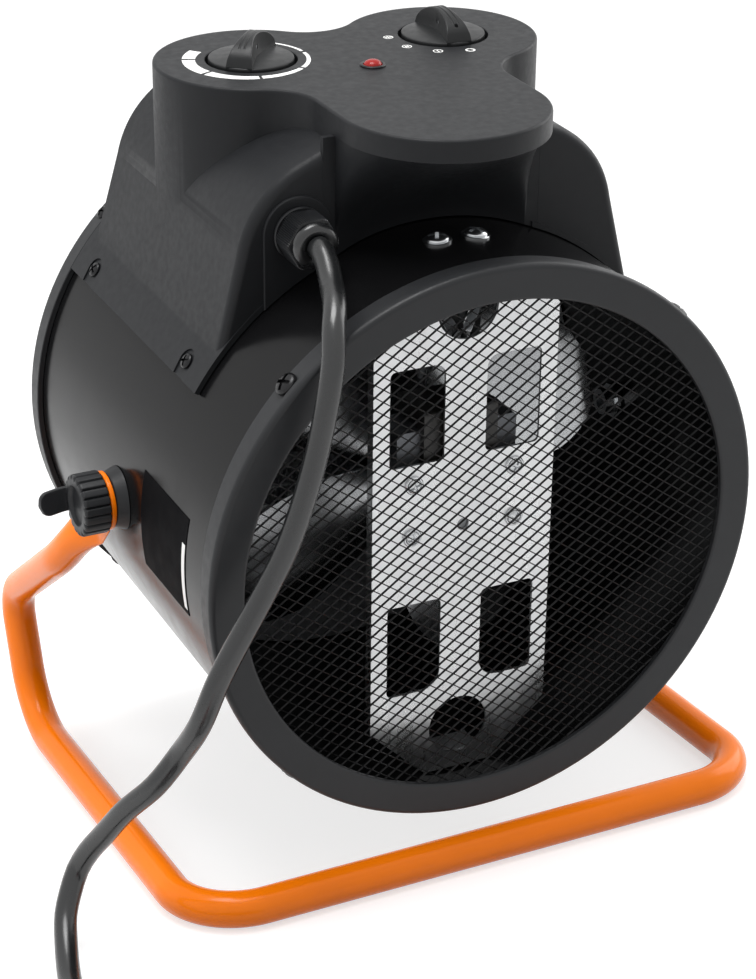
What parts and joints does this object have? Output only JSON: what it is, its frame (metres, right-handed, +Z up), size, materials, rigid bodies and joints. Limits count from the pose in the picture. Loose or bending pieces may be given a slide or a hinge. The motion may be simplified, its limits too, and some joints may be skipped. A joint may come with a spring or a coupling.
{
  "type": "fan heater",
  "caption": "Drum-shaped industrial ceramic fan heater on an orange tube stand, with a tilt pivot, two control knobs and a mains cable.",
  "frame": {"origin": "on the floor under the middle of the heater and its stand, without the cable", "axes": "+Z up, +Y towards the air intake, -Y towards the warm air outlet, +X to the left of someone who looks at the intake"},
  "size_m": [0.4988, 0.5296, 0.4001],
  "materials": {
    "drum_paint": "satin",
    "bezel_paint": "matte",
    "net_paint": "satin",
    "housing_plastic": "fine texture",
    "zinc_sheet": "bright zinc",
    "bright_steel": "bright",
    "laminations": "laminated",
    "winding": "taped winding",
    "fan_aluminium": "bright",
    "ceramic_core": "finned",
    "stand_paint": "gloss",
    "knob_plastic": "satin",
    "rubber_black": "matte",
    "cable_jacket": "gloss",
    "lamp_red": "clear red",
    "switch_plastic": "satin",
    "copper_tube": "bright copper",
    "plug_red": "satin",
    "plug_black": "matte"
  },
  "bodies": {
    "stand": {"stand_tube": "stand_paint", "cable_run": "cable_jacket", "cable_coil": "cable_jacket", "cable_tail": "cable_jacket", "plug_nut": "plug_black", "plug_body": "plug_red", "plug_insert": "plug_black"},
    "heater": {"drum_shell": "drum_paint", "rear_bezel": "bezel_paint", "front_bezel": "bezel_paint", "rear_guard": "net_paint", "front_guard": "net_paint", "motor_bracket": "zinc_sheet", "motor_rear_plate": "zinc_sheet", "motor_front_plate": "zinc_sheet", "motor_stator": "laminations", "motor_coil": "winding", "motor_lead": "rubber_black", "element_frame": "zinc_sheet", "ptc_element_1": "ceramic_core", "ptc_element_2": "ceramic_core", "ptc_element_3": "ceramic_core", "ptc_element_4": "ceramic_core", "ptc_element_5": "ceramic_core", "element_rail_left": "zinc_sheet", "element_rail_right": "zinc_sheet", "thermal_cutout": "knob_plastic", "thermostat_capillary": "copper_tube", "control_housing": "housing_plastic", "housing_rear_cover": "housing_plastic", "thermostat_body": "switch_plastic", "selector_body": "switch_plastic", "lamp_lens": "lamp_red", "lamp_body": "switch_plastic", "terminal_block": "switch_plastic", "wire_grommet": "rubber_black", "gland_body": "knob_plastic", "gland_locknut": "knob_plastic", "gland_nut": "knob_plastic", "gland_seal": "rubber_black", "boss_left": "knob_plastic", "boss_right": "knob_plastic", "boss_insert_left": "bright_steel", "boss_insert_right": "bright_steel"},
    "fan_rotor": {"motor_rotor": "bright_steel", "fan": "fan_aluminium", "fan_nut": "bright_steel"},
    "thermostat": {"thermostat_knob": "knob_plastic", "thermostat_shaft": "bright_steel"},
    "selector": {"selector_knob": "knob_plastic", "selector_shaft": "bright_steel"},
    "clamp_left": {"clamp_knob_left": "knob_plastic", "clamp_stud_left": "bright_steel"},
    "clamp_right": {"clamp_knob_right": "knob_plastic", "clamp_stud_right": "bright_steel"}
  },
  "joints": [
    {"name": "tilt", "type": "hinge", "parent": "stand", "child": "heater", "pos_m": [0, 0.00447, 0.18281], "axis": [1, 0, 0], "range_deg": [-15, 25], "deforming": ["cable_run"]},
    {"name": "fan_spin", "type": "hinge", "parent": "heater", "child": "fan_rotor", "pos_m": [0, 0.00447, 0.18281], "axis": [0, 0.9957, -0.0924], "continuous": true},
    {"name": "thermostat_turn", "type": "hinge", "parent": "heater", "child": "thermostat", "pos_m": [0.053, -0.01201, 0.3852], "axis": [0, 0.0924, 0.9957], "range_deg": [-130, 140]},
    {"name": "selector_turn", "type": "hinge", "parent": "heater", "child": "selector", "pos_m": [-0.0503, -0.01201, 0.3852], "axis": [0, 0.0924, 0.9957], "range_deg": [-98, 0]},
    {"name": "clamp_left_turn", "type": "hinge", "parent": "heater", "child": "clamp_left", "pos_m": [0.15, 0.00447, 0.18281], "axis": [1, 0, 0], "range_deg": [-180, 180]},
    {"name": "clamp_right_turn", "type": "hinge", "parent": "heater", "child": "clamp_right", "pos_m": [-0.15, 0.00447, 0.18281], "axis": [1, 0, 0], "range_deg": [-180, 180]}
  ]
}
